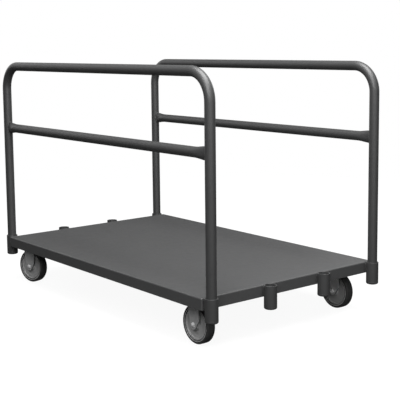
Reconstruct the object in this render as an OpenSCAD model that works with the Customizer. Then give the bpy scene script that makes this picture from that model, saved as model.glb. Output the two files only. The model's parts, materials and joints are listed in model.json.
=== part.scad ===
// Panel mover: a steel platform truck with two lift-out pipe uprights.
// Millimetres, +X to the front (the fixed casters), +Y to the left, +Z up.
// The origin is on the floor, under the middle of the deck.

/* [Deck] */
// Length of the deck pan, lip face to lip face
deck_length = 1219.2; // [900:0.1:1800]
// Width of the deck pan, lip face to lip face
deck_width = 762; // [560:0.1:1000]
// Thickness of the deck sheet
deck_sheet = 2.66; // [1.5:0.01:4]
// Height of the turned-down lip, from the deck's top face
lip_height = 38.1; // [25:0.1:60]
// Inside radius of the bend between the deck and its lips
deck_bend_inside = 1.54; // [0.5:0.01:4]

/* [Sockets] */
// Wall thickness of a socket pipe
socket_wall = 3.56; // [2:0.01:6]
// Length of a socket with its end cap
socket_length = 76.2; // [50:0.1:120]
// How far a socket stands above the deck's top face
socket_rise = 1.5; // [0:0.1:5]
// Height of the pressed cap that closes a socket
cap_height = 9; // [7:0.1:14]
// Thickness of the cap's floor
cap_floor = 3.5; // [2:0.1:5]
// Outside corner radius of the cap
cap_corner = 5.5; // [2:0.1:6.5]
// Number of sockets across each end of the deck
sockets_per_end = 4; // [2:1:6]

/* [Uprights] */
// Outside diameter of the upright pipe
pipe_od = 33.4; // [26:0.1:42]
// Wall thickness of the upright pipe
pipe_wall = 3.38; // [1.5:0.01:4]
// Clearance between an upright leg and its socket, on the radius
leg_clearance = 0.82; // [0.3:0.01:1.5]
// Height of the top bar's centre above the deck
top_bar_height = 676; // [500:1:1100]
// Height of the crossbar's centre above the deck
crossbar_height = 435; // [200:1:480]
// Centreline radius of the upright's bends
pipe_bend_radius = 88.9; // [60:0.1:140]
// Length of the flattened end of the crossbar
crimp_length = 54; // [30:1:90]
// Height of the crossbar's flattened end
crimp_height = 43; // [32:0.5:52]
// Thickness of the crossbar's flattened end
crimp_thickness = 17; // [12:0.5:24]
// Gap left for the weld between the crossbar and a leg
weld_gap = 0.05; // [0.02:0.01:0.3]

/* [Underside] */
// Depth of the hat channels below the deck sheet
channel_depth = 11; // [9:0.1:20]
// Thickness of the channel steel
channel_sheet = 3; // [2:0.1:4]
// How far a channel's web reaches past a caster plate at each side
channel_margin = 2.85; // [1:0.05:30]
// Width of each flange that is welded to the deck
channel_flange = 20; // [12:1:40]
// Width of the middle stiffener's flat web
stiffener_web = 60; // [40:1:120]
// Gap between a channel's end and the bend of the lip beside it
channel_end_gap = 0.5; // [0.2:0.1:5]

/* [Casters] */
// Wheel diameter
wheel_diameter = 127; // [101:1:160]
// Width of the tread
tread_width = 32; // [24:0.5:50]
// Thickness of the tread
tread_thickness = 8; // [5:0.5:12]
// Corner radius of the tread
tread_corner = 4; // [2:0.5:6]
// How far the wheel hub stands past the tread on each side
hub_proud = 3; // [0.5:0.1:6]
// Height from the top of a wheel to the top of a caster plate
head_height = 34.9; // [32:0.1:50]
// Length of a caster plate, along the truck
plate_length = 114.3; // [95:0.1:140]
// Width of a caster plate, across the truck
plate_width = 101.6; // [84:0.1:125]
// Thickness of a caster plate
plate_thickness = 5; // [4:0.1:6]
// Corner radius of a caster plate
plate_corner = 8; // [4:0.5:12]
// Distance from the end of a caster plate to its bolts
bolt_end_margin = 11.1; // [9:0.1:14]
// Distance from the side of a caster plate to its bolts
bolt_side_margin = 14.3; // [9:0.1:16]
// Distance from the front lip to the middle of the fixed casters' plates
fixed_caster_inset = 99.6; // [90:0.1:300]
// Distance from the rear lip to the swivel casters' kingpins
swivel_caster_inset = 111.6; // [105:0.1:300]
// Distance from a side lip to the middle of each caster
caster_side_inset = 68; // [60:0.1:150]
// Trail of a swivel caster, kingpin to axle
trail = 35; // [29:0.5:42]
// Angle that the right swivel caster is left at
rest_angle_right = 14; // [-90:1:90]
// Angle that the left swivel caster is left at
rest_angle_left = -8; // [-90:1:90]

/* [Caster fork] */
// Thickness of the fork steel
fork_sheet = 4; // [3:0.1:5]
// Side gap between the hub and a fork leg
hub_side_gap = 0.5; // [0.3:0.1:1]
// Inside bend radius of the fork
fork_bend_inside = 4; // [1:0.5:7]
// Reach of the fork leg ahead of the axle
leg_front = 28; // [22:0.5:30]
// Reach of the fork leg behind the axle at its top
leg_rear = 24; // [20:0.5:28]
// Radius of the leg's rounded end around the axle
boss_radius = 15.5; // [12:0.5:17]
// Height above the axle where the leg's front edge starts to taper
front_taper_height = 15; // [14:0.5:30]
// Height above the axle where the leg's rear edge starts to taper
rear_taper_height = 52; // [30:1:54]
// Gap between the wheel and a swivel fork's crown
crown_gap = 8; // [4:0.1:10]
// Radius of the swivel fork's round crown
crown_radius = 30; // [28:0.5:33]

/* [Caster hardware] */
// Axle bolt diameter
axle_diameter = 9.5; // [8:0.1:12]
// Outside diameter of the sleeve that the wheel turns on
sleeve_od = 15.8; // [14:0.1:18]
// Running clearance of the wheel bearing on its sleeve, on the radius
bearing_clearance = 0.05; // [0.02:0.01:0.1]
// Outside diameter of the wheel bearing
bearing_od = 24; // [20:0.1:28]
// Plate bolt diameter
bolt_diameter = 8; // [6:0.1:9]
// Kingpin diameter
kingpin_diameter = 13; // [10:0.1:14]
// Diameter of a swivel bearing ball
ball_diameter = 6.35; // [5:0.05:7.7]
// Radius of the ring that the balls run on
ball_ring_radius = 21; // [20:0.5:22]
// Gap between neighbouring balls
ball_gap = 0.9; // [0.2:0.05:4]

/* [Hidden] */
$fn = 96;
sliver = 0.01; // overshoot that keeps a cut clean
crimp_start = 1; // straight length at the start of a crimp
sleeve_clearance = 0.1; // sleeve on its axle bolt, on the radius
bolt_hole_clearance = 0.4; // bolt hole about a plate bolt, on the radius
hub_wall = 5; // hub steel around the wheel bearing
rim_inset = 1; // rim face inside the tread's face
rim_thickness = 8;
wheel_web = 22; // thickness of the disc between hub and rim
axle_head_height = 6;
axle_head_flats = 14.3;
axle_nut_height = 8;
axle_tail = 3;
bolt_head_height = 5;
bolt_flats = 13;
bolt_nut_height = 6.5;
bolt_tail = 2;
boss_front_angle = 35; // where the leg's front edge leaves its round end
race_margin = 6; // race past the middle of its ball groove
race_gap = 2; // between the upper race and the lower one
race_sink = 1; // depth that a race is let into the steel around it
ball_clearance = 0.05;
kingpin_head_radius = 9.5;
kingpin_foot_height = 4.5;
kingpin_side_gap = 0.05;
kingpin_foot_gap = 0.3;

SIDES = ["right", "left"];
ENDS = ["rear", "front"];
CASTERS = ["front_right", "front_left", "rear_right", "rear_left"];
FIXED_PARTS = ["plate", "fork", "sleeve", "axle_bolt", "axle_nut", "bearing", "wheel", "tread"];
SWIVEL_PARTS = concat(FIXED_PARTS, ["kingpin", "balls"]);

// Heights
axle_z = wheel_diameter / 2;
caster_height = wheel_diameter + head_height;
deck_under_z = caster_height + channel_depth;
deck_top_z = deck_under_z + deck_sheet;
web_top_z = caster_height + channel_sheet;
plate_under_z = caster_height - plate_thickness;
socket_top_z = deck_top_z + socket_rise;
socket_bottom_z = socket_top_z - socket_length;
leg_bottom_z = socket_bottom_z + cap_floor;
top_bar_z = deck_top_z + top_bar_height;
crossbar_z = deck_top_z + crossbar_height;

// Deck, sockets and uprights
deck_bend_radius = deck_bend_inside + deck_sheet;
pipe_radius = pipe_od / 2;
pipe_bore_radius = pipe_radius - pipe_wall;
socket_bore_radius = pipe_radius + leg_clearance;
socket_od = 2 * (socket_bore_radius + socket_wall);
socket_x = deck_length / 2 + socket_od / 2;
corner_socket_y = deck_width / 2 - socket_od / 2;
socket_pitch = 2 * corner_socket_y / (sockets_per_end - 1);
bend_start_x = socket_x - pipe_bend_radius;
bend_start_z = top_bar_z - pipe_bend_radius;

// Casters
fixed_caster_x = deck_length / 2 - fixed_caster_inset;
swivel_caster_x = deck_length / 2 - swivel_caster_inset;
caster_y = deck_width / 2 - caster_side_inset;
channel_web = plate_length + 2 * channel_margin;
bolt_spacing_x = plate_length - 2 * bolt_end_margin;
bolt_spacing_y = plate_width - 2 * bolt_side_margin;
bolt_hole_radius = bolt_diameter / 2 + bolt_hole_clearance;
hub_length = tread_width + 2 * hub_proud;
hub_radius = bearing_od / 2 + hub_wall;
core_radius = wheel_diameter / 2 - tread_thickness;
sleeve_bore_radius = axle_diameter / 2 + sleeve_clearance;
fork_gap = hub_length + 2 * hub_side_gap;
fork_width = fork_gap + 2 * fork_sheet;
fork_bend_radius = fork_bend_inside + fork_sheet;
crown_under_z = wheel_diameter + crown_gap;
crown_top_z = crown_under_z + fork_sheet;
race_radius = ball_ring_radius + race_margin;
race_mid_z = (plate_under_z + crown_top_z) / 2;
ball_count = floor(2 * PI * ball_ring_radius / (ball_diameter + ball_gap));

// A circumscribed hexagon prism, given by its distance across flats
module hexagon(flats, height) {
    cylinder(r = flats / 2 / cos(30), h = height, $fn = 6);
}

// A flat rectangle with round corners, centred on the origin
module rounded_rectangle(length, width, corner) {
    square([length - 2 * corner, width], center = true);
    square([length, width - 2 * corner], center = true);
    for (x = [-1, 1]) for (y = [-1, 1])
        translate([x * (length / 2 - corner), y * (width / 2 - corner)]) circle(corner);
}

// A slab with its top edges and upright corners rounded, standing on z = 0
module rounded_slab(length, width, height, corner) {
    edge_x = length / 2 - corner;
    edge_y = width / 2 - corner;
    linear_extrude(height - corner) rounded_rectangle(length, width, corner);
    translate([-edge_x, -edge_y, 0]) cube([2 * edge_x, 2 * edge_y, height]);
    for (side = [-1, 1]) {
        translate([-edge_x, side * edge_y, height - corner])
            rotate([0, 90, 0]) cylinder(r = corner, h = 2 * edge_x);
        translate([side * edge_x, edge_y, height - corner])
            rotate([90, 0, 0]) cylinder(r = corner, h = 2 * edge_y);
        for (end = [-1, 1])
            translate([end * edge_x, side * edge_y, height - corner]) sphere(corner);
    }
}

// Deck sheet with four lips turned down and welded at the corners
module deck_pan() {
    color("#66666a")
        translate([0, 0, deck_top_z - lip_height])
            difference() {
                rounded_slab(deck_length, deck_width, lip_height, deck_bend_radius);
                translate([0, 0, -sliver])
                    rounded_slab(deck_length - 2 * deck_sheet, deck_width - 2 * deck_sheet,
                                 lip_height - deck_sheet + sliver, deck_bend_inside);
            }
}

// Cross-section of a hat channel: flanges up against the deck, web down
module hat_section(web) {
    outer = web / 2;
    difference() {
        union() {
            translate([-outer, 0]) square([web, channel_depth]);
            translate([-outer - channel_flange, channel_depth - channel_sheet])
                square([web + 2 * channel_flange, channel_sheet]);
        }
        translate([-outer + channel_sheet, channel_sheet])
            square([web - 2 * channel_sheet, channel_depth]);
    }
}

// A hat channel across the deck at x, with holes for the casters' bolts
module cross_channel(x, web, has_casters) {
    span = deck_width - 2 * (deck_bend_radius + channel_end_gap);
    color("#4c4c4f")
        difference() {
            translate([x, span / 2, caster_height])
                rotate([90, 0, 0]) linear_extrude(span) hat_section(web);
            if (has_casters)
                for (y = [-caster_y, caster_y])
                    translate([x, y, caster_height]) bolt_holes(channel_sheet);
        }
}

// Four bolt holes that go up through a sheet whose under face is z = 0
module bolt_holes(thickness) {
    at_bolts() translate([0, 0, -sliver]) cylinder(r = bolt_hole_radius, h = thickness + 2 * sliver);
}

// Its children at each of a caster plate's four bolts
module at_bolts() {
    for (x = [-1, 1]) for (y = [-1, 1])
        translate([x * bolt_spacing_x / 2, y * bolt_spacing_y / 2, 0]) children();
}

// Its children under each of the four caster plates
module at_plates() {
    for (y = [-caster_y, caster_y]) {
        translate([fixed_caster_x, y, 0]) children();
        translate([-swivel_caster_x, y, 0]) children();
    }
}

function end_sign(end) = end == "front" ? 1 : -1;
function side_sign(side) = side == "left" ? 1 : -1;
function socket_y(index) = -corner_socket_y + (index - 1) * socket_pitch;

// One open-topped socket pipe, welded to the outside of an end lip
module socket(end, index) {
    color("#424245")
        translate([end_sign(end) * socket_x, socket_y(index), socket_bottom_z + cap_height])
            difference() {
                cylinder(d = socket_od, h = socket_length - cap_height);
                translate([0, 0, -sliver])
                    cylinder(r = socket_bore_radius, h = socket_length - cap_height + 2 * sliver);
            }
}

// Pressed cap with a rounded outer corner
module socket_cap() {
    rotate_extrude()
        difference() {
            union() {
                square([socket_od / 2 - cap_corner, cap_height]);
                translate([0, cap_corner]) square([socket_od / 2, cap_height - cap_corner]);
                intersection() {
                    translate([socket_od / 2 - cap_corner, cap_corner]) circle(cap_corner);
                    square([socket_od / 2, cap_corner]);
                }
            }
            translate([-sliver, cap_floor]) square([socket_bore_radius + sliver, cap_height]);
        }
}

// The caps that close the bottoms of all the sockets
module socket_caps() {
    color("#3c3c3f")
        for (end = ENDS) for (i = [1:sockets_per_end])
            translate([end_sign(end) * socket_x, socket_y(i), socket_bottom_z]) socket_cap();
}

// The solid that an upright's pipe fills, at a given radius
module upright_path(radius, leg_foot) {
    for (side = [-1, 1]) {
        translate([side * socket_x, 0, leg_foot]) cylinder(r = radius, h = bend_start_z - leg_foot);
        translate([side * bend_start_x, 0, bend_start_z])
            rotate([90, 0, 0]) mirror([side < 0 ? 1 : 0, 0, 0])
                rotate_extrude(angle = 90) translate([pipe_bend_radius, 0]) circle(radius);
    }
    translate([-bend_start_x, 0, top_bar_z])
        rotate([0, 90, 0]) cylinder(r = radius, h = 2 * bend_start_x);
}

// One pipe bent into an upside-down U, standing in two sockets
module upright_frame(side) {
    color("#47474a")
        translate([0, side_sign(side) * corner_socket_y, 0])
            difference() {
                upright_path(pipe_radius, leg_bottom_z);
                upright_path(pipe_bore_radius, leg_bottom_z - sliver);
            }
}

// A flattened end of the crossbar, from a round pipe to a tall oval
module crimp(radius, height, thickness) {
    end_radius = thickness / 2;
    hull() {
        rotate([0, 90, 0]) cylinder(r = radius, h = crimp_start, $fn = 32);
        for (z = [-1, 1])
            translate([crimp_length, 0, z * (height / 2 - end_radius)])
                rotate([0, 90, 0]) cylinder(r = end_radius, h = pipe_radius, $fn = 32);
    }
}

// The straight pipe across an upright, its ends flattened and coped to the legs
module upright_crossbar(side) {
    round_half = socket_x - pipe_radius - crimp_length;
    color("#47474a")
        translate([0, side_sign(side) * corner_socket_y, crossbar_z])
            difference() {
                union() {
                    translate([-round_half, 0, 0])
                        rotate([0, 90, 0]) cylinder(r = pipe_radius, h = 2 * round_half);
                    for (end = [0, 1])
                        mirror([end, 0, 0]) translate([round_half - sliver, 0, 0])
                            crimp(pipe_radius, crimp_height, crimp_thickness);
                }
                translate([-round_half - sliver, 0, 0])
                    rotate([0, 90, 0]) cylinder(r = pipe_bore_radius, h = 2 * (round_half + sliver));
                for (end = [0, 1])
                    mirror([end, 0, 0]) translate([round_half, 0, 0])
                        crimp(pipe_bore_radius, crimp_height - 2 * pipe_wall,
                              crimp_thickness - 2 * pipe_wall);
                for (end = [-1, 1])
                    translate([end * socket_x, 0, -crimp_height])
                        cylinder(r = pipe_radius + weld_gap, h = 2 * crimp_height);
            }
}

// Bolts that hold the casters to the channels, heads inside the channels
module plate_bolts() {
    shank = channel_sheet + plate_thickness + bolt_nut_height + bolt_tail;
    color("#b9b9bc")
        at_plates() at_bolts() {
            translate([0, 0, web_top_z]) hexagon(bolt_flats, bolt_head_height);
            translate([0, 0, web_top_z - shank]) cylinder(d = bolt_diameter, h = shank + sliver);
        }
}

// Nuts under the caster plates
module plate_nuts() {
    color("#b9b9bc")
        at_plates() at_bolts()
            translate([0, 0, plate_under_z - bolt_nut_height])
                difference() {
                    hexagon(bolt_flats, bolt_nut_height);
                    translate([0, 0, -sliver])
                        cylinder(d = bolt_diameter, h = bolt_nut_height + 2 * sliver);
                }
}

function is_swivel(c) = c >= 2;
function caster_side(c) = c % 2 == 0 ? -1 : 1;
function rest_angle(c) = !is_swivel(c) ? 0 : c == 2 ? rest_angle_right : rest_angle_left;

// Its children in a caster's own frame: plate centre at x = y = 0
module at_plate(c) {
    translate([is_swivel(c) ? -swivel_caster_x : fixed_caster_x, caster_side(c) * caster_y, 0])
        children();
}

// Its children in a fork's own frame, turned with a swivel caster: kingpin at x = y = 0
module at_fork(c) {
    at_plate(c) rotate([0, 0, rest_angle(c)]) children();
}

// Its children in a wheel's own frame: axle over x = y = 0, rolling along x
module at_wheel(c) {
    at_fork(c) translate([is_swivel(c) ? -trail : 0, 0, 0]) children();
}

// Its children along the axle, +Z pointing outwards from the truck
module along_axle(c) {
    at_wheel(c) translate([0, 0, axle_z]) rotate([-90 * caster_side(c), 0, 0]) children();
}

// Caster plate, with the upper ball race on a swivel caster
module caster_plate(c) {
    color("#6a6a6d")
        at_plate(c) {
            difference() {
                union() {
                    translate([0, 0, plate_under_z])
                        linear_extrude(plate_thickness)
                            rounded_rectangle(plate_length, plate_width, plate_corner);
                    if (is_swivel(c))
                        ball_race(race_mid_z + race_gap / 2, plate_under_z + race_sink);
                }
                translate([0, 0, plate_under_z]) bolt_holes(plate_thickness);
                if (is_swivel(c)) {
                    translate([0, 0, race_mid_z])
                        cylinder(d = kingpin_diameter, h = caster_height - race_mid_z + sliver);
                    translate([0, 0, caster_height - plate_thickness / 2])
                        cylinder(r = kingpin_head_radius, h = plate_thickness);
                }
            }
        }
}

// A thick ring about the kingpin, grooved for the balls
module ball_race(bottom_z, top_z) {
    inner = kingpin_diameter / 2 - race_sink;
    rotate_extrude()
        difference() {
            translate([inner, bottom_z]) square([race_radius - inner, top_z - bottom_z]);
            translate([ball_ring_radius, race_mid_z]) circle(d = ball_diameter + 2 * ball_clearance);
        }
}

// The leg's outline seen from the side, the axle at the origin
module leg_outline(top) {
    circle(boss_radius);
    polygon([
        [boss_radius * cos(boss_front_angle), -boss_radius * sin(boss_front_angle)],
        [leg_front, front_taper_height],
        [leg_front, top],
        [-leg_rear, top],
        [-leg_rear, rear_taper_height],
        [-boss_radius, 0],
    ]);
}

// The fork's outline seen from the side, the axle at the origin
module fork_outline(top, has_crown) {
    leg_outline(top);
    if (has_crown)
        polygon([
            [0, top],
            [trail + race_radius / 2, top],
            [trail + race_radius / 2, top - fork_sheet],
            [leg_front, top - 3 * fork_sheet],
            [0, top - 3 * fork_sheet],
        ]);
}

// The fork's bent section seen along the truck, the axle's height at y = 0
module fork_section(top) {
    depth = top + 2 * boss_radius;
    difference() {
        translate([0, top - depth / 2]) rounded_rectangle(fork_width, depth, fork_bend_radius);
        translate([0, top - fork_sheet - depth / 2])
            rounded_rectangle(fork_gap, depth, fork_bend_inside);
    }
}

// Pressed fork that straddles the wheel
module caster_fork(c) {
    color("#6f6f72") at_fork(c)
        if (is_swivel(c)) swivel_fork();
        else fork_blank(plate_under_z, false);
}

// The bent and cut fork sheet with its axle hole, the axle at x = 0
module fork_blank(top_z, has_crown) {
    top = top_z - axle_z;
    reach = trail + crown_radius + leg_rear;
    translate([0, 0, axle_z])
        difference() {
            intersection() {
                translate([-leg_rear - boss_radius, 0, 0]) rotate([90, 0, 90])
                    linear_extrude(reach + 2 * boss_radius) fork_section(top);
                translate([0, fork_width, 0]) rotate([90, 0, 0])
                    linear_extrude(2 * fork_width) fork_outline(top, has_crown);
            }
            rotate([90, 0, 0]) translate([0, 0, -fork_width])
                cylinder(d = axle_diameter, h = 2 * fork_width);
        }
}

// A fork with a round crown and the lower ball race, the kingpin at x = 0
module swivel_fork() {
    difference() {
        union() {
            translate([-trail, 0, 0]) fork_blank(crown_top_z, true);
            translate([0, 0, crown_under_z]) cylinder(r = crown_radius, h = fork_sheet);
            ball_race(crown_top_z - race_sink, race_mid_z - race_gap / 2);
        }
        translate([0, 0, crown_under_z - sliver])
            cylinder(r = kingpin_diameter / 2 + kingpin_side_gap, h = race_mid_z - crown_under_z);
    }
}

// Sleeve that the fork legs clamp and the wheel turns on
module caster_sleeve(c) {
    color("#9a9a9d")
        along_axle(c) translate([0, 0, -fork_gap / 2])
            difference() {
                cylinder(d = sleeve_od, h = fork_gap);
                translate([0, 0, -sliver])
                    cylinder(r = sleeve_bore_radius, h = fork_gap + 2 * sliver);
            }
}

// Axle bolt, its head on the outer side
module caster_axle_bolt(c) {
    tail = axle_nut_height + axle_tail;
    color("#c4c4c6")
        along_axle(c) {
            translate([0, 0, -fork_width / 2 - tail])
                cylinder(d = axle_diameter, h = fork_width + tail + sliver);
            translate([0, 0, fork_width / 2]) hexagon(axle_head_flats, axle_head_height);
        }
}

// Axle nut, on the inner side
module caster_axle_nut(c) {
    color("#c4c4c6")
        along_axle(c) translate([0, 0, -fork_width / 2 - axle_nut_height])
            difference() {
                hexagon(axle_head_flats, axle_nut_height);
                translate([0, 0, -sliver])
                    cylinder(d = axle_diameter, h = axle_nut_height + 2 * sliver);
            }
}

// Plain bearing bush pressed into the hub
module caster_bearing(c) {
    color("#2f2f31")
        along_axle(c) translate([0, 0, -hub_length / 2])
            difference() {
                cylinder(d = bearing_od, h = hub_length);
                translate([0, 0, -sliver])
                    cylinder(r = sleeve_od / 2 + bearing_clearance, h = hub_length + 2 * sliver);
            }
}

// Moulded wheel centre: hub, recessed web and rim
module caster_wheel(c) {
    color("#6b6b6e")
        along_axle(c)
            rotate_extrude() {
                translate([bearing_od / 2, -hub_length / 2])
                    square([hub_radius - bearing_od / 2, hub_length]);
                translate([bearing_od / 2, -wheel_web / 2])
                    square([core_radius - bearing_od / 2, wheel_web]);
                translate([core_radius - rim_thickness, rim_inset - tread_width / 2])
                    square([rim_thickness, tread_width - 2 * rim_inset]);
            }
}

// Tread moulded onto the rim
module caster_tread(c) {
    outer = wheel_diameter / 2;
    color("#2b2b2d")
        along_axle(c)
            rotate_extrude()
                difference() {
                    union() {
                        translate([core_radius, -tread_width / 2])
                            square([tread_thickness - tread_corner, tread_width]);
                        translate([core_radius, -tread_width / 2 + tread_corner])
                            square([tread_thickness, tread_width - 2 * tread_corner]);
                        for (side = [-1, 1])
                            translate([outer - tread_corner, side * (tread_width / 2 - tread_corner)])
                                circle(tread_corner);
                    }
                    square([2 * core_radius, 2 * tread_width], center = true);
                }
}

// Kingpin, riveted into the plate, with a foot that carries the fork
module caster_kingpin(c) {
    foot_top_z = crown_under_z - kingpin_foot_gap;
    foot_z = foot_top_z - kingpin_foot_height;
    color("#c4c4c6")
        at_plate(c) {
            translate([0, 0, foot_z])
                cylinder(d = kingpin_diameter, h = caster_height - foot_z);
            translate([0, 0, foot_z]) cylinder(r = kingpin_head_radius, h = kingpin_foot_height);
            translate([0, 0, caster_height - plate_thickness / 2])
                cylinder(r = kingpin_head_radius, h = plate_thickness / 2);
        }
}

// Ring of balls between the plate and the fork
module caster_balls(c) {
    color("#c9c9cc")
        at_plate(c) for (i = [0:ball_count - 1])
            rotate([0, 0, i * 360 / ball_count])
                translate([ball_ring_radius, 0, race_mid_z]) sphere(d = ball_diameter, $fn = 32);
}

// The named piece of one caster
module caster_piece(piece, c) {
    if (piece == "plate") caster_plate(c);
    if (piece == "fork") caster_fork(c);
    if (piece == "sleeve") caster_sleeve(c);
    if (piece == "axle_bolt") caster_axle_bolt(c);
    if (piece == "axle_nut") caster_axle_nut(c);
    if (piece == "bearing") caster_bearing(c);
    if (piece == "wheel") caster_wheel(c);
    if (piece == "tread") caster_tread(c);
    if (piece == "kingpin") caster_kingpin(c);
    if (piece == "balls") caster_balls(c);
}

deck_pan();
cross_channel(fixed_caster_x, channel_web, true);  // front_channel
cross_channel(-swivel_caster_x, channel_web, true);  // rear_channel
cross_channel(0, stiffener_web, false);  // middle_stiffener
socket_caps();
for (end = ENDS) for (i = [1:sockets_per_end])
    socket(end, i);
for (side = SIDES) {
    upright_frame(side);
    upright_crossbar(side);
}
plate_bolts();
plate_nuts();
for (c = [0:3]) for (piece = is_swivel(c) ? SWIVEL_PARTS : FIXED_PARTS)
    caster_piece(piece, c);
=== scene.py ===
"""Looks of the platform truck: materials, finer meshes, welds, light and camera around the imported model."""

import json
import math

import bmesh
import bpy
from mathutils import Matrix, Vector, noise

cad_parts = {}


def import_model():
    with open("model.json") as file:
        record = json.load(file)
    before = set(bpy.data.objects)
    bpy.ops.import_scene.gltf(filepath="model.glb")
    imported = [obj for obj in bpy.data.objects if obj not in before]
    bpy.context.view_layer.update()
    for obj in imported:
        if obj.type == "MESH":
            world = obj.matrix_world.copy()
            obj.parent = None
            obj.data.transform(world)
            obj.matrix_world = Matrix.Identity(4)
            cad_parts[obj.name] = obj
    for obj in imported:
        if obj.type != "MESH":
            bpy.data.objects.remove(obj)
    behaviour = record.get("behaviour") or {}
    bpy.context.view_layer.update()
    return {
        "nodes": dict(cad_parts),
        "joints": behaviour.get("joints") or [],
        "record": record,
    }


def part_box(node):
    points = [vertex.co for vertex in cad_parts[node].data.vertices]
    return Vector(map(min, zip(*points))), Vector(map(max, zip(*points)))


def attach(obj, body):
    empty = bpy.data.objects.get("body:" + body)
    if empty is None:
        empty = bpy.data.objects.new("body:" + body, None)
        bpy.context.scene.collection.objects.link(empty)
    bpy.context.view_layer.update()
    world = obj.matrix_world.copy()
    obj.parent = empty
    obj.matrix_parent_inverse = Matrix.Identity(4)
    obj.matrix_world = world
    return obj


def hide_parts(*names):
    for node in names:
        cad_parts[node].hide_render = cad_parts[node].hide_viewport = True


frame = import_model()

MM = 0.001
SIDES = (("right", -1), ("left", 1))
ENDS = (("rear", -1), ("front", 1))
FIXED = ("front_right", "front_left")
SWIVEL = ("rear_right", "rear_left")
CASTERS = FIXED + SWIVEL
JOINTS = {joint["name"]: joint for joint in frame["joints"]}
UPSIDE_DOWN = Matrix.Rotation(math.pi, 4, "X")

# ---------------------------------------------------------------- places taken from the frame


def centre(node):
    """The middle of a CAD node's box."""
    low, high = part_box(node)
    return (Vector(low) + Vector(high)) / 2


def size(node):
    """The lengths of a CAD node's box."""
    low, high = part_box(node)
    return Vector(high) - Vector(low)


deck_low, deck_high = (Vector(corner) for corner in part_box("deck_pan"))
deck_top = deck_high.z
lip_bottom = deck_low.z
pipe_radius = size("right_upright_frame").y / 2
pipe_wall = 3.38 * MM
crimp_length = 54 * MM
crimp_half_width = 8.5 * MM
socket_radius = size("front_socket_1").x / 2
leg_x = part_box("right_upright_frame")[1][0] - pipe_radius
top_bar_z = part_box("right_upright_frame")[1][2] - pipe_radius
leg_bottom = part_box("right_upright_frame")[0][2]
bend_radius = 88.9 * MM  # to the pipe's centreline

# ---------------------------------------------------------------- node graphs


class Graph:
    """A material's node graph, with short calls to add and join nodes."""

    def __init__(self, name):
        self.material = bpy.data.materials.new(name)
        self.material.use_nodes = True
        self.tree = self.material.node_tree
        self.shader = self.tree.nodes["Principled BSDF"]
        self.place = self.add("ShaderNodeTexCoord").outputs["Object"]

    def add(self, kind, inputs=None, **settings):
        """A new node with its settings, and its inputs set or linked."""
        node = self.tree.nodes.new(kind)
        for key, value in settings.items():
            setattr(node, key, value)
        for key, value in (inputs or {}).items():
            if isinstance(value, bpy.types.NodeSocket):
                self.tree.links.new(value, node.inputs[key])
            else:
                node.inputs[key].default_value = value
        return node

    def noise(self, scale, detail=2.0, roughness=0.5, stretch=(1, 1, 1)):
        """Noise over the object, with scale in cycles a metre."""
        place = self.place
        if stretch != (1, 1, 1):
            place = self.add("ShaderNodeMapping", {"Vector": place, "Scale": stretch}).outputs["Vector"]
        return self.add("ShaderNodeTexNoise", {
            "Vector": place, "Scale": scale, "Detail": detail, "Roughness": roughness,
        }).outputs["Fac"]

    def remap(self, value, low, high, to_low, to_high):
        """Maps low to to_low and high to to_high, and holds the value at those ends."""
        return self.add("ShaderNodeMapRange", {
            "Value": value, "From Min": low, "From Max": high, "To Min": to_low, "To Max": to_high,
        }).outputs["Result"]

    def mix(self, factor, first, second):
        """A colour from the first to the second."""
        node = self.add("ShaderNodeMix", data_type="RGBA")
        for key, value in ((0, factor), (6, first), (7, second)):
            if isinstance(value, bpy.types.NodeSocket):
                self.tree.links.new(value, node.inputs[key])
            else:
                node.inputs[key].default_value = value
        return node.outputs[2]

    def math(self, operation, first, second):
        return self.add("ShaderNodeMath", {0: first, 1: second}, operation=operation).outputs[0]

    def bump(self, height, depth, strength=1.0, under=None):
        """A normal from a height, laid over another normal if one is given."""
        inputs = {"Height": height, "Distance": depth, "Strength": strength}
        if under is not None:
            inputs["Normal"] = under
        return self.add("ShaderNodeBump", inputs).outputs["Normal"]

    def finish(self, **sockets):
        """Sets or links the shader's own sockets, given with _ for a space."""
        for key, value in sockets.items():
            socket = self.shader.inputs[key.replace("_", " ")]
            if isinstance(value, bpy.types.NodeSocket):
                self.tree.links.new(value, socket)
            else:
                socket.default_value = value
        return self.material


def grey(level, warmth=0.0):
    """A grey of a linear level, a little warm or, below zero, a little cold."""
    return (level * (1 + warmth), level, level * (1 - warmth), 1.0)


def powder_coat(name, level, scuffs):
    """Charcoal powder coat: fine orange peel, faint mottling, and light scuffs where things slide."""
    g = Graph(name)
    mottle = g.remap(g.noise(14, 3, 0.5), 0.3, 0.7, 0.0, 1.0)
    colour = g.mix(mottle, grey(level * 0.98, -0.012), grey(level * 1.02, -0.006))
    speckle = g.remap(g.noise(900, 3, 0.7), 0.62, 0.75, 0.0, 0.35)
    colour = g.mix(speckle, colour, grey(level * 1.7))
    along = g.noise(9, 6, 0.75, stretch=(0.25, 22, 22))
    across = g.noise(11, 6, 0.75, stretch=(20, 0.3, 20))
    worn = g.remap(g.noise(3.5, 4, 0.65), 0.45, 0.72, 0.0, 1.0)
    long_streaks = g.remap(along, 0.66, 0.72, 0.0, 1.0)
    cross_streaks = g.remap(across, 0.68, 0.74, 0.0, 1.0)
    streaks = g.math("MAXIMUM", long_streaks, cross_streaks)
    scratch = g.math("MULTIPLY", g.math("MULTIPLY", streaks, worn), scuffs)
    colour = g.mix(scratch, colour, grey(level * 2.1))
    satin = g.remap(g.noise(60, 3), 0.3, 0.7, 0.43, 0.48)
    rough = g.math("ADD", satin, g.math("MULTIPLY", scratch, 0.12))
    peel = g.bump(g.noise(430, 2.5), 0.12 * MM, 0.55)
    normal = g.bump(g.noise(1500, 2), 0.03 * MM, 0.5, under=peel)
    return g.finish(Base_Color=colour, Roughness=rough, Normal=normal, Specular_IOR_Level=0.5)


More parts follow.
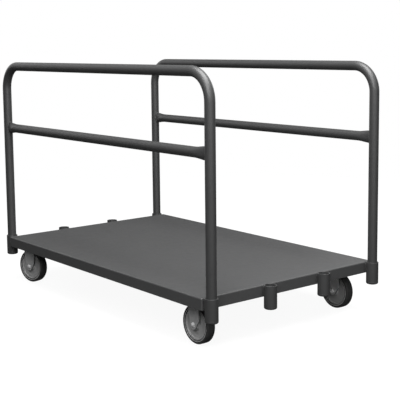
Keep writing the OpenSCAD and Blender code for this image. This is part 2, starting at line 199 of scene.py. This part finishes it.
def weld_paint(name, level):
    """The same coat over rougher weld metal."""
    g = Graph(name)
    colour = g.mix(g.noise(60, 4), grey(level * 0.8), grey(level * 1.25))
    rough = g.remap(g.noise(90, 3), 0.3, 0.7, 0.36, 0.55)
    normal = g.bump(g.noise(700, 3), 0.25 * MM, 0.8)
    return g.finish(Base_Color=colour, Roughness=rough, Normal=normal)


def pressed_steel(name, level):
    """Grey plated steel of the caster forks and plates, with rolled grain and dull patches."""
    g = Graph(name)
    patches = g.remap(g.noise(38, 5, 0.65), 0.35, 0.65, 0.0, 1.0)
    colour = g.mix(patches, grey(level * 0.86, -0.01), grey(level * 1.12, 0.004))
    grain = g.noise(120, 4, 0.6, stretch=(1, 1, 12))
    rough = g.remap(grain, 0.3, 0.7, 0.34, 0.5)
    normal = g.bump(grain, 0.03 * MM, 0.6)
    return g.finish(Base_Color=colour, Metallic=0.55, Roughness=rough, Normal=normal)


def zinc(name, level):
    """Bright zinc plate on bolts, nuts and pins, a little clouded."""
    g = Graph(name)
    colour = g.mix(g.noise(260, 4), grey(level * 0.9, -0.015), grey(level * 1.08, 0.01))
    rough = g.remap(g.noise(500, 4), 0.3, 0.7, 0.2, 0.36)
    return g.finish(Base_Color=colour, Metallic=0.6, Roughness=rough,
                    Normal=g.bump(g.noise(900, 2), 0.02 * MM, 0.5))


def moulded_grey(name, level):
    """Moulded polyolefin wheel centre, matt with a fine grain."""
    g = Graph(name)
    colour = g.mix(g.noise(45, 4, 0.6), grey(level * 0.9), grey(level * 1.08))
    dust = g.remap(g.noise(18, 5, 0.7), 0.52, 0.75, 0.0, 0.3)
    colour = g.mix(dust, colour, grey(level * 1.35, 0.03))
    rough = g.remap(g.noise(70, 3), 0.3, 0.7, 0.5, 0.62)
    normal = g.bump(g.noise(1100, 3), 0.05 * MM, 0.6)
    return g.finish(Base_Color=colour, Roughness=rough, Normal=normal)


def rubber(name, level):
    """Dark tread rubber with floor dust and fine scuffing round it."""
    g = Graph(name)
    dust = g.remap(g.noise(26, 6, 0.72), 0.48, 0.72, 0.0, 0.55)
    colour = g.mix(dust, grey(level), grey(level * 2.3, 0.03))
    rough = g.remap(g.noise(40, 3), 0.3, 0.7, 0.66, 0.82)
    normal = g.bump(g.noise(650, 4, 0.7), 0.12 * MM, 0.7)
    return g.finish(Base_Color=colour, Roughness=rough, Normal=normal)


def nylon(name):
    """Dark moulded nylon."""
    g = Graph(name)
    return g.finish(Base_Color=g.mix(g.noise(80, 3), grey(0.02), grey(0.035)), Roughness=0.5,
                    Normal=g.bump(g.noise(800, 2), 0.03 * MM, 0.5))


MATERIALS = {
    # Painted light: the deck takes the frame's coat at a lighter level, standing in for the stronger light on
    # the deck top.
    "deck_paint": powder_coat("deck_coat_painted_lighter", level=0.044, scuffs=0.15),
    "frame_paint": powder_coat("frame_powder_coat", level=0.030, scuffs=0.2),
    "weld": weld_paint("painted_weld", level=0.032),
    "caster_steel": pressed_steel("caster_pressed_steel", level=0.55),
    # Painted shade: a near-black copy of the caster steel for the fork's edges.
    "shaded_fork_edge": pressed_steel("painted_shade_fork_edge", level=0.07),
    "zinc_steel": zinc("bright_zinc", level=0.9),
    "wheel_plastic": moulded_grey("wheel_centre_plastic", level=0.27),
    # Painted shade: a dark copy of the wheel plastic for the groove near the rim.
    "wheel_groove_shade": moulded_grey("painted_shade_wheel_groove", level=0.08),
    "tread_rubber": rubber("tread_rubber", level=0.018),
    "bearing_plastic": nylon("bearing_nylon"),
}

# ---------------------------------------------------------------- mesh helpers


def make(name, bm, slot, body, replaces=(), material=None, sharp_angle=35):
    """Turns a bmesh into a finished piece that rides on a body."""
    bmesh.ops.remove_doubles(bm, verts=bm.verts, dist=1e-7)
    bmesh.ops.recalc_face_normals(bm, faces=bm.faces)
    mesh = bpy.data.meshes.new(name)
    bm.to_mesh(mesh)
    bm.free()
    mesh.shade_smooth()
    mesh.set_sharp_from_angle(angle=math.radians(sharp_angle))
    mesh.materials.append(material or MATERIALS[slot])
    piece = bpy.data.objects.new(name, mesh)
    bpy.context.scene.collection.objects.link(piece)
    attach(piece, body)
    if replaces:
        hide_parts(*replaces)
    return piece


def add_rings(bm, rings, close_ring=True, close_path=False, caps=False):
    """Skins a list of point rings of equal length, and caps the two ends if asked."""
    rows = [[bm.verts.new(point) for point in ring] for ring in rings]
    count = len(rows[0])
    spans = list(zip(rows, rows[1:])) + ([(rows[-1], rows[0])] if close_path else [])
    for low, high in spans:
        for i in range(count if close_ring else count - 1):
            j = (i + 1) % count
            bm.faces.new((low[i], low[j], high[j], high[i]))
    if caps:
        bm.faces.new(rows[0])
        bm.faces.new(rows[-1])
    return rows


def circle_ring(middle, across, up, radius, steps):
    """Points round a circle in the plane of across and up."""
    return [middle + (across * math.cos(a) + up * math.sin(a)) * radius
            for a in (2 * math.pi * i / steps for i in range(steps))]


def lathe(bm, profile, place, steps=96):
    """Turns a closed profile of (radius, offset) points about the local Y axis of place."""
    rings = []
    for i in range(steps):
        a = 2 * math.pi * i / steps
        rings.append([place @ Vector((r * math.cos(a), y, r * math.sin(a))) for r, y in profile])
    add_rings(bm, rings, close_ring=True, close_path=True)


def rounded(points, radii, steps=5):
    """A closed outline with its corners rounded by arcs, one radius for each corner."""
    outline = []
    for i, (corner, radius) in enumerate(zip(points, radii)):
        here = Vector(corner)
        before, after = Vector(points[i - 1]) - here, Vector(points[(i + 1) % len(points)]) - here
        if radius <= 0:
            outline.append(tuple(here))
            continue
        half = before.angle(after) / 2
        reach = radius / math.tan(half)
        start, end = here + before.normalized() * reach, here + after.normalized() * reach
        middle = here + (before.normalized() + after.normalized()).normalized() * radius / math.sin(half)
        for k in range(steps + 1):
            spoke = (start - middle).lerp(end - middle, k / steps)
            outline.append(tuple(middle + spoke.normalized() * radius))
    return outline


def refine(node, slot, body, width, segments=2):
    """A copy of a CAD node's mesh with its flat faces joined and its sharp edges rounded over."""
    flat_angle, sharp_angle = math.radians(0.4), math.radians(38)
    bm = bmesh.new()
    bm.from_mesh(frame["nodes"][node].data)
    bmesh.ops.remove_doubles(bm, verts=bm.verts, dist=2e-6)
    bmesh.ops.dissolve_limit(bm, angle_limit=flat_angle, verts=bm.verts, edges=bm.edges)
    edges = [e for e in bm.edges if e.is_manifold and e.calc_face_angle(0) > sharp_angle]
    bmesh.ops.bevel(bm, geom=edges, offset=width, offset_type="OFFSET", segments=segments,
                    profile=0.5, affect="EDGES", clamp_overlap=True)
    piece = make(f"{node}_finished", bm, slot, body, replaces=(node,))
    piece.modifiers.new("even_normals", "WEIGHTED_NORMAL").keep_sharp = True
    return piece


def bead(name, path, radius, body, out):
    """A weld bead along a path: a lumpy rounded strip with the ripples of the weld pool.

    out gives the direction away from the joint at a point.
    """
    ripple_length, ripple_depth = 3.2 * MM, 0.10
    lumps_per_metre, lump_depth = 130, 0.12
    ring_spacing, ring_steps = 0.9 * MM, 10
    taper_length, thinnest = 2.2 * radius, 0.02
    bm = bmesh.new()
    points = [Vector(point) for point in path]
    lengths = [0.0]
    for a, b in zip(points, points[1:]):
        lengths.append(lengths[-1] + (b - a).length)
    total = lengths[-1]
    count = max(8, int(total / ring_spacing))
    rings = []
    for k in range(count + 1):
        run = total * k / count
        i = min(max(j for j, length in enumerate(lengths) if length <= run + 1e-12), len(points) - 2)
        share = (run - lengths[i]) / (lengths[i + 1] - lengths[i])
        middle = points[i].lerp(points[i + 1], share)
        along = (points[i + 1] - points[i]).normalized()
        side = along.cross(out(middle)).normalized()
        up = side.cross(along).normalized()
        ripple = ripple_depth * math.cos(2 * math.pi * run / ripple_length)
        lump = lump_depth * noise.noise(middle * lumps_per_metre)
        from_end = min(run, total - run) / taper_length
        taper = math.sqrt(max(thinnest, 1 - max(0.0, 1 - from_end) ** 2))
        rings.append(circle_ring(middle, side, up, radius * (1 + ripple + lump) * taper, ring_steps))
    add_rings(bm, rings, caps=True)
    return make(name, bm, "frame_paint", body, material=MATERIALS["weld"], sharp_angle=80)


def paint_faces(piece, material, chosen):
    """Gives a second material to the faces that chosen picks."""
    piece.data.materials.append(MATERIALS[material])
    for face in piece.data.polygons:
        if chosen(face):
            face.material_index = 1


def close_ends(bm, outer, inner):
    """Joins the end rings of two nested shells, which leaves a pipe with a wall."""
    for end in (0, -1):
        outside, inside = outer[end], inner[end]
        for i in range(len(outside)):
            j = (i + 1) % len(outside)
            bm.faces.new((outside[i], outside[j], inside[j], inside[i]))


# ---------------------------------------------------------------- uprights


def upright_line(y, arc_steps=24, leg_steps=6, bar_steps=8):
    """Points along an upright's centreline, foot to foot: one half and its mirror image."""
    start_x, start_z = leg_x - bend_radius, top_bar_z - bend_radius
    half = []
    for k in range(leg_steps):
        half.append((-leg_x, leg_bottom + (start_z - leg_bottom) * k / leg_steps))
    for k in range(arc_steps):
        a = math.pi - math.pi / 2 * k / arc_steps
        half.append((-start_x + bend_radius * math.cos(a), start_z + bend_radius * math.sin(a)))
    for k in range(bar_steps + 1):
        half.append((-start_x + start_x * k / bar_steps, top_bar_z))
    line = half + [(-x, z) for x, z in reversed(half[:-1])]
    return [Vector((x, y, z)) for x, z in line]


def tube(bm, line, outer, inner, steps=64):
    """A pipe with a bore along a flat line in an XZ plane, open at both ends."""
    across = Vector((0, 1, 0))
    shells = []
    for radius in (outer, inner):
        rings = []
        for i, point in enumerate(line):
            ahead, behind = line[min(i + 1, len(line) - 1)], line[max(i - 1, 0)]
            along = (ahead - behind).normalized()
            rings.append(circle_ring(point, across, across.cross(along), radius, steps))
        shells.append(add_rings(bm, rings))
    close_ends(bm, *shells)


def upright_frame(side):
    """The bent pipe of an upright."""
    node = f"{side}_upright_frame"
    bm = bmesh.new()
    tube(bm, upright_line(centre(node).y), pipe_radius, pipe_radius - pipe_wall)
    make(f"{side}_upright_pipe", bm, "frame_paint", f"{side}_upright", replaces=(node,))


def oval_point(a, half_width, half_height):
    """A point on a pipe that has been flattened: its flanks grow straighter as it gets taller."""
    y, z = math.cos(a), math.sin(a)
    flattening = half_height / half_width - 1
    if flattening > 0.01:
        straightness = 2 + 1.3 * flattening
        y *= min((abs(y) ** straightness + z * z) ** (-1 / 2.2), 1.03)
    return Vector((0, y * half_width, z * half_height))


def crossbar(side, steps=64, crimp_steps=18):
    """The crossbar, round in the middle and pressed flat into its coped ends, with a weld round each."""
    node = f"{side}_upright_crossbar"
    middle = centre(node)
    flat_half, tall_half = crimp_half_width, size(node).z / 2
    end_x = leg_x - pipe_radius
    wall = 0.9 * pipe_wall
    cope_sharpness = 6
    stations = [end_x - crimp_length * (1 - k / crimp_steps) for k in range(crimp_steps + 1)]
    bm = bmesh.new()
    shells = []
    for inset in (0.0, wall):
        rings = []
        for x in [-x for x in reversed(stations)] + stations:
            t = max(0.0, 1 - (end_x - abs(x)) / crimp_length)
            ease = t * t * (3 - 2 * t)
            wide = pipe_radius + (flat_half - pipe_radius) * ease - inset
            tall = pipe_radius + (tall_half - pipe_radius) * ease - inset
            ring = []
            for i in range(steps):
                p = oval_point(2 * math.pi * i / steps, wide, tall)
                reach = leg_x - math.sqrt(max(0.0, pipe_radius ** 2 - p.y ** 2)) - end_x
                shift = math.copysign(reach * t ** cope_sharpness, x)
                ring.append(Vector((x + shift, middle.y + p.y, middle.z + p.z)))
            rings.append(ring)
        shells.append(add_rings(bm, rings))
    close_ends(bm, *shells)
    make(f"{side}_crossbar_pipe", bm, "frame_paint", f"{side}_upright", replaces=(node,))

    weld_radius, weld_points, weld_start = 2.3 * MM, 48, 0.4
    weld_half_width, weld_half_height = flat_half * 1.06, tall_half * 1.02
    weld_stand_off = 0.6 * MM
    for end, sign in ENDS:
        ring = []
        for i in range(weld_points + 1):
            a = 2 * math.pi * i / weld_points + weld_start
            y, z = weld_half_width * math.cos(a), weld_half_height * math.sin(a)
            x = sign * (leg_x - math.sqrt(pipe_radius ** 2 - y * y) - weld_stand_off)
            ring.append((x, middle.y + y, middle.z + z))
        bead(f"{side}_crossbar_weld_{end}", ring, weld_radius, f"{side}_upright",
             lambda point: Vector((0, point.y - middle.y, point.z - middle.z)).normalized())


# ---------------------------------------------------------------- deck, sockets and channels


def sockets():
    """Socket pipes, each welded to the lip along both sides except past the lip's end, and their caps."""
    weld_radius, weld_beside, weld_proud = 2.6 * MM, 10 * MM, 1.4 * MM
    below_deck_top, above_lip_edge, lip_end = 2.2 * MM, 1.5 * MM, 4 * MM
    for end, sign in ENDS:
        for i in range(1, 5):
            node = f"{end}_socket_{i}"
            refine(node, "frame_paint", "deck", 0.5 * MM)
            middle = centre(node)
            x = middle.x - sign * socket_radius + sign * weld_proud
            for side, across in SIDES:
                y = middle.y + across * weld_beside
                if abs(y) > deck_high.y - lip_end:
                    continue
                path = [(x, y, deck_top - below_deck_top), (x, y, lip_bottom + above_lip_edge)]
                bead(f"{end}_socket_{i}_weld_{side}", path, weld_radius, "deck",
                     lambda point: Vector((sign, 0, 0)))
    refine("socket_caps", "frame_paint", "deck", 0.4 * MM)


def deck():
    """The pan, and the channels and stiffener stitch-welded under it."""
    stitches, half_stitch = 4, 20 * MM
    weld_radius, weld_beside, weld_below = 2.2 * MM, 0.6 * MM, 1.0 * MM
    refine("deck_pan", "deck_paint", "deck", 0.35 * MM)
    for node in ("front_channel", "rear_channel", "middle_stiffener"):
        refine(node, "deck_paint", "deck", 0.5 * MM)
        low, high = (Vector(corner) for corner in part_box(node))
        z = high.z - weld_below
        for (end, sign), edge in zip(ENDS, (low.x, high.x)):
            x = edge + sign * weld_beside
            for k in range(stitches):
                y = low.y + (high.y - low.y) * (k + 0.5) / stitches
                path = [(x, y - half_stitch, z), (x, y + half_stitch, z)]
                bead(f"{node}_stitch_{end}_{k + 1}", path, weld_radius, "deck",
                     lambda point: Vector((0, 0, -1)))


# ---------------------------------------------------------------- fasteners


def hex_rings(flats, height, chamfer_both, crown, steps=72, crown_steps=6):
    """Angles of a hexagon's points, and the radii and heights of its rings.

    A 30 degree cone cuts its corners, and crown is the height of the dome on its top.
    """
    face_radius = flats / 2 * 0.96
    cut = math.tan(math.radians(30))

    def hex_radius(a):
        return flats / 2 / math.cos((a + math.pi / 6) % (math.pi / 3) - math.pi / 6)

    angles = [2 * math.pi * i / steps for i in range(steps)]
    bottom = [(hex_radius(a), (hex_radius(a) - face_radius) * cut if chamfer_both else 0.0) for a in angles]
    top = [(hex_radius(a), height - crown - (hex_radius(a) - face_radius) * cut) for a in angles]
    rings = [bottom, top, [(face_radius, height - crown)] * steps]
    if crown:
        for k in range(1, crown_steps):
            share = 1 - k / crown_steps
            rings.append([(face_radius * share, height - crown * share ** 2)] * steps)
    if chamfer_both:
        rings.insert(0, [(face_radius, 0.0)] * steps)
    return angles, rings


def add_hexagon(bm, place, flats, height, bore=0.0, chamfer_both=False, crown=0.0):
    """A hexagon along the local Z axis of place, solid or with a bore."""
    angles, rings = hex_rings(flats, height, chamfer_both, crown)
    if bore:
        rings = [[(bore, 0.0)] * len(angles)] + rings + [[(bore, height)] * len(angles)]
    points = [[place @ Vector((r * math.cos(a), r * math.sin(a), z)) for a, (r, z) in zip(angles, ring)]
              for ring in rings]
    add_rings(bm, points, close_path=bool(bore), caps=not bore)


def add_thread(bm, place, radius, length, pitch, start, steps=36, rows_per_turn=6):
    """A rod along local Z with a helical groove from start on and a bevelled tip."""
    depth, tip_length = 0.6 * pitch, 0.8 * pitch
    rows = int(length / (pitch / rows_per_turn))
    rings = []
    for k in range(rows + 1):
        z = length * k / rows
        ring = []
        for i in range(steps):
            a = 2 * math.pi * i / steps
            wave = abs(((z / pitch - i / steps) % 1.0) * 2 - 1)
            r = radius - (depth * wave if z >= start else 0.0)
            r = min(r, radius - max(0.0, z - (length - tip_length)))
            ring.append(place @ Vector((r * math.cos(a), r * math.sin(a), z)))
        rings.append(ring)
    add_rings(bm, rings, caps=True)


def plate_fasteners():
    """Hexagon bolts down through the channels and plates, and their nuts."""
    flats, thread_radius, pitch = 13 * MM, 4 * MM, 1.25 * MM
    head_height, plain_shank = 5 * MM, 8 * MM
    reach_x, reach_y = 46.05 * MM, 36.5 * MM
    head_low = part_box("plate_bolts")[1][2] - head_height
    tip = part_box("plate_bolts")[0][2]
    nut_low, nut_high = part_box("plate_nuts")[0][2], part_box("plate_nuts")[1][2]
    bolts, nuts = bmesh.new(), bmesh.new()
    for caster in CASTERS:
        middle = centre(f"{caster}_plate")
        for sx in (-1, 1):
            for sy in (-1, 1):
                x, y = middle.x + sx * reach_x, middle.y + sy * reach_y
                under_head = Matrix.Translation((x, y, head_low))
                add_hexagon(bolts, under_head, flats, head_height)
                add_thread(bolts, under_head @ UPSIDE_DOWN, thread_radius, head_low - tip, pitch, plain_shank)
                add_hexagon(nuts, Matrix.Translation((x, y, nut_low)), flats, nut_high - nut_low,
                            bore=thread_radius, chamfer_both=True)
    make("plate_bolts_threaded", bolts, "zinc_steel", "deck", replaces=("plate_bolts",), sharp_angle=28)
    make("plate_nuts_chamfered", nuts, "zinc_steel", "deck", replaces=("plate_nuts",), sharp_angle=28)


# ---------------------------------------------------------------- casters


def holder(caster):
    """The body that a caster's fork belongs to."""
    return f"{caster}_swivel" if caster in SWIVEL else "deck"


def wheel_place(caster):
    """A frame at the axle: local Y out along the axle, local Z up."""
    joint = JOINTS[f"{caster}_wheel_roll"]
    along = Vector(joint["axis"]).normalized()
    if caster.endswith("right"):
        along = -along
    up = Vector((0, 0, 1))
    ahead = along.cross(up)
    turn = Matrix((ahead, along, up)).transposed().to_4x4()
    return Matrix.Translation(Vector(joint["pos_m"])) @ turn


def both_sides(half, radii):
    """Mirrors a half outline across the wheel's middle plane and rounds its corners, all given in mm."""
    points = [(r * MM, -y * MM) for r, y in reversed(half)] + [(r * MM, y * MM) for r, y in half]
    corners = [c * MM for c in reversed(radii)] + [c * MM for c in radii]
    return rounded(points, corners)


def wheel(caster):
    """The moulded wheel centre with painted shade in the groove near its rim, the tread and the bush."""
    place, body = wheel_place(caster), f"{caster}_wheel_body"
    axis = place.to_3x3() @ Vector((0, 1, 0))
    groove_inner, groove_outer, groove_top = 49.3 * MM, 52.7 * MM, 14.2 * MM

    def in_groove(face):
        offset = face.center - place.translation
        across = offset.dot(axis)
        radius = (offset - axis * across).length
        return groove_inner < radius < groove_outer and abs(across) < groove_top

    core = [(55.4, 15.8), (52.6, 15.8), (52.2, 12.4), (49.8, 12.4), (49.4, 14.6), (46.5, 14.6), (43.5, 11.6),
            (30, 10.4), (29, 10.9), (22, 10.9), (18.5, 12), (17, 18.9), (12.05, 18.9)]
    core_round = [0.5, 0.9, 0.3, 0.3, 0.5, 0.8, 3.0, 0.4, 0.4, 2.0, 2.5, 0.6, 0.3]
    bm = bmesh.new()
    lathe(bm, both_sides(core, core_round), place, steps=120)
    hub = make(f"{caster}_wheel_centre", bm, "wheel_plastic", body, replaces=(f"{caster}_wheel",))
    # Painted shade: the groove faces near the rim take the dark copy of the wheel plastic.
    paint_faces(hub, "wheel_groove_shade", in_groove)

    tread = [(63.5, 0.01), (63.2, 12.4), (60.6, 15.8), (57.2, 16.0), (55.5, 15.4)]
    tread_round = [0.0, 2.5, 1.8, 0.8, 0.3]
    bm = bmesh.new()
    lathe(bm, both_sides(tread, tread_round), place, steps=144)
    make(f"{caster}_tyre", bm, "tread_rubber", body, replaces=(f"{caster}_tread",), sharp_angle=50)

    bush, bush_round = [(12, 19), (7.95, 19)], [0.5, 0.4]
    bm = bmesh.new()
    lathe(bm, both_sides(bush, bush_round), place, steps=64)
    make(f"{caster}_bush", bm, "bearing_plastic", body, replaces=(f"{caster}_bearing",))


def axle(caster):
    """Axle bolt with a chamfered, domed head and a threaded tail, and its lock nut with a rounded collar."""
    body, place = holder(caster), wheel_place(caster) @ Matrix.Rotation(-math.pi / 2, 4, "X")
    half_span = 23.5 * MM
    head_height, head_crown, nut_height, tail = 6 * MM, 3.2 * MM, 8 * MM, 3 * MM
    flats, radius, pitch = 14.3 * MM, 4.75 * MM, 1.5 * MM
    plain_shank = 2 * half_span - 2 * MM
    hexagon_height, collar_low, collar_high = nut_height * 0.78, flats * 0.46, flats * 0.43

    under_head = place @ Matrix.Translation((0, 0, half_span))
    bm = bmesh.new()
    add_hexagon(bm, under_head, flats, head_height, crown=head_crown)
    add_thread(bm, under_head @ UPSIDE_DOWN, radius, 2 * half_span + nut_height + tail, pitch, plain_shank)
    make(f"{caster}_axle_screw", bm, "zinc_steel", body, replaces=(f"{caster}_axle_bolt",), sharp_angle=28)

    under_nut = place @ Matrix.Translation((0, 0, -half_span)) @ UPSIDE_DOWN
    bm = bmesh.new()
    add_hexagon(bm, under_nut, flats, hexagon_height, bore=radius)
    collar = rounded([(radius, hexagon_height), (collar_low, hexagon_height), (collar_high, nut_height),
                      (radius, nut_height)], [0, 0, 0.9 * MM, 0.3 * MM])
    lathe(bm, collar, under_nut @ Matrix.Rotation(math.pi / 2, 4, "X"), steps=64)
    make(f"{caster}_lock_nut", bm, "zinc_steel", body, replaces=(f"{caster}_axle_nut",), sharp_angle=28)


def caster(name):
    """A whole caster: fork with its edges painted dark as shade, plate, wheel and axle, and welds if it is
    fixed.
    """
    body = holder(name)
    axis = Vector(JOINTS[f"{name}_wheel_roll"]["axis"]).normalized()
    fork_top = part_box(f"{name}_fork")[1][2]
    crown_under = fork_top - 14 * MM

    # Painted shade: the fork's sideways-facing edges below the crown take the dark steel, like a shadow gap.
    def painted_shade_edge(face):
        edge_on = abs(face.normal.dot(axis)) < 0.5 and abs(face.normal.z) < 0.97
        return edge_on and face.center.z < crown_under

    paint_faces(refine(f"{name}_fork", "caster_steel", body, 0.5 * MM), "shaded_fork_edge", painted_shade_edge)
    refine(f"{name}_plate", "caster_steel", "deck", 0.6 * MM)
    wheel(name)
    axle(name)
    if name in FIXED:
        weld_radius, half_weld = 2.4 * MM, 16 * MM
        from_side, below_top = 4 * MM, 1.2 * MM
        middle, fork = centre(f"{name}_fork"), size(f"{name}_fork")
        z = fork_top - below_top
        for side, sign in SIDES:
            y = middle.y + sign * (fork.y / 2 - from_side)
            path = [(middle.x - half_weld, y, z), (middle.x + half_weld, y, z)]
            bead(f"{name}_fork_weld_{side}", path, weld_radius, "deck",
                 lambda point: Vector((0, sign, -1)).normalized())


for side, _ in SIDES:
    upright_frame(side)
    crossbar(side)
deck()
sockets()
plate_fasteners()
for name in CASTERS:
    caster(name)

slot_of = {part["node"]: part["material_slot"] for part in frame["record"]["subparts"]}
for node, piece in frame["nodes"].items():
    for material_slot in piece.material_slots:
        material_slot.material = MATERIALS[slot_of[node]]

# ---------------------------------------------------------------- floor, light and camera

FLOOR_GLOW = 0.93


def floor():
    """A pale round floor just under the wheels. It catches shadows but lights nothing."""
    bm = bmesh.new()
    bmesh.ops.create_circle(bm, cap_ends=True, radius=3.2, segments=96)
    mesh = bpy.data.meshes.new("floor")
    bm.to_mesh(mesh)
    bm.free()
    g = Graph("pale_floor")
    tone = g.mix(g.noise(1.2, 3), grey(0.045), grey(0.055))
    mesh.materials.append(g.finish(Base_Color=tone, Roughness=0.9, Emission_Color=(1, 1, 1, 1),
                                   Emission_Strength=FLOOR_GLOW))
    ground = bpy.data.objects.new("floor", mesh)
    bpy.context.scene.collection.objects.link(ground)
    ground.location.z = -0.5 * MM
    ground.visible_diffuse = False
    ground.visible_glossy = False


def area_light(name, place, target, width, power):
    """A square light of a width in metres and a power in watts, turned towards its target."""
    data = bpy.data.lights.new(name, "AREA")
    data.shape = "SQUARE"
    data.size = width
    data.energy = power
    lamp = bpy.data.objects.new(name, data)
    lamp.location = place
    lamp.rotation_mode = "QUATERNION"
    lamp.rotation_quaternion = (Vector(target) - Vector(place)).to_track_quat("-Z", "Y")
    bpy.context.scene.collection.objects.link(lamp)


def world(up_level, side_level, down_level):
    """Soft dim surround, a little brighter overhead, seen by the camera as plain white."""
    surround = bpy.data.worlds.new("studio")
    bpy.context.scene.world = surround
    surround.use_nodes = True
    tree = surround.node_tree
    tree.nodes.clear()

    def add(kind, **settings):
        node = tree.nodes.new(kind)
        for key, value in settings.items():
            setattr(node, key, value)
        return node

    split = add("ShaderNodeSeparateXYZ")
    tree.links.new(add("ShaderNodeTexCoord").outputs["Generated"], split.inputs[0])
    ramp = add("ShaderNodeValToRGB")
    ramp.color_ramp.interpolation = "EASE"
    ramp.color_ramp.elements[0].position = 0.2
    ramp.color_ramp.elements[0].color = grey(down_level)
    ramp.color_ramp.elements[1].position = 0.9
    ramp.color_ramp.elements[1].color = grey(up_level)
    ramp.color_ramp.elements.new(0.5).color = grey(side_level)
    height = add("ShaderNodeMath", operation="MULTIPLY_ADD")
    height.inputs[1].default_value = 0.5
    height.inputs[2].default_value = 0.5
    tree.links.new(split.outputs["Z"], height.inputs[0])
    tree.links.new(height.outputs[0], ramp.inputs["Fac"])
    lit, white = add("ShaderNodeBackground"), add("ShaderNodeBackground")
    tree.links.new(ramp.outputs["Color"], lit.inputs["Color"])
    white.inputs["Color"].default_value = (1, 1, 1, 1)
    choose = add("ShaderNodeMixShader")
    tree.links.new(add("ShaderNodeLightPath").outputs["Is Camera Ray"], choose.inputs[0])
    tree.links.new(lit.outputs[0], choose.inputs[1])
    tree.links.new(white.outputs[0], choose.inputs[2])
    tree.links.new(choose.outputs[0], add("ShaderNodeOutputWorld").inputs["Surface"])


def camera():
    """The camera, with its heading, tilt and roll in degrees, its place in metres and its lens in mm."""
    heading, tilt, roll = math.radians(-51.31), math.radians(6.99), math.radians(0.58)
    place, lens, shift, far = (2.7437, -2.0907, 0.9281), 84.6, -0.1, 200
    ahead = Vector((math.sin(heading) * math.cos(tilt), math.cos(heading) * math.cos(tilt), -math.sin(tilt)))
    level = Vector((math.cos(heading), -math.sin(heading), 0))
    down = ahead.cross(level)
    right = level * math.cos(roll) + down * math.sin(roll)
    up = level * math.sin(roll) - down * math.cos(roll)
    data = bpy.data.cameras.new("camera")
    data.lens = lens
    data.shift_y = shift
    data.clip_end = far
    view = bpy.data.objects.new("camera", data)
    turn = Matrix((right, up, -ahead)).transposed().to_4x4()
    view.matrix_world = Matrix.Translation(place) @ turn
    bpy.context.scene.collection.objects.link(view)
    bpy.context.scene.camera = view


floor()
world(up_level=0.12, side_level=0.07, down_level=0.08)
area_light("front_key", (1.9, -2.0, 2.1), (0.3, -0.2, 0.2), width=2.0, power=90)
area_light("top_key", (0.9, -0.2, 3.2), (0.2, 0.0, 0.2), width=2.4, power=250)
area_light("end_fill", (3.8, -0.9, 1.3), (0, 0, 0.3), width=2.2, power=30)
area_light("left_fill", (-1.2, 4.6, 2.0), (0, 0, 0.3), width=3.0, power=42)
area_light("rear_fill", (-4.6, -0.6, 1.8), (0, 0, 0.3), width=3.0, power=38)
camera()
bpy.context.scene.view_settings.view_transform = "Standard"
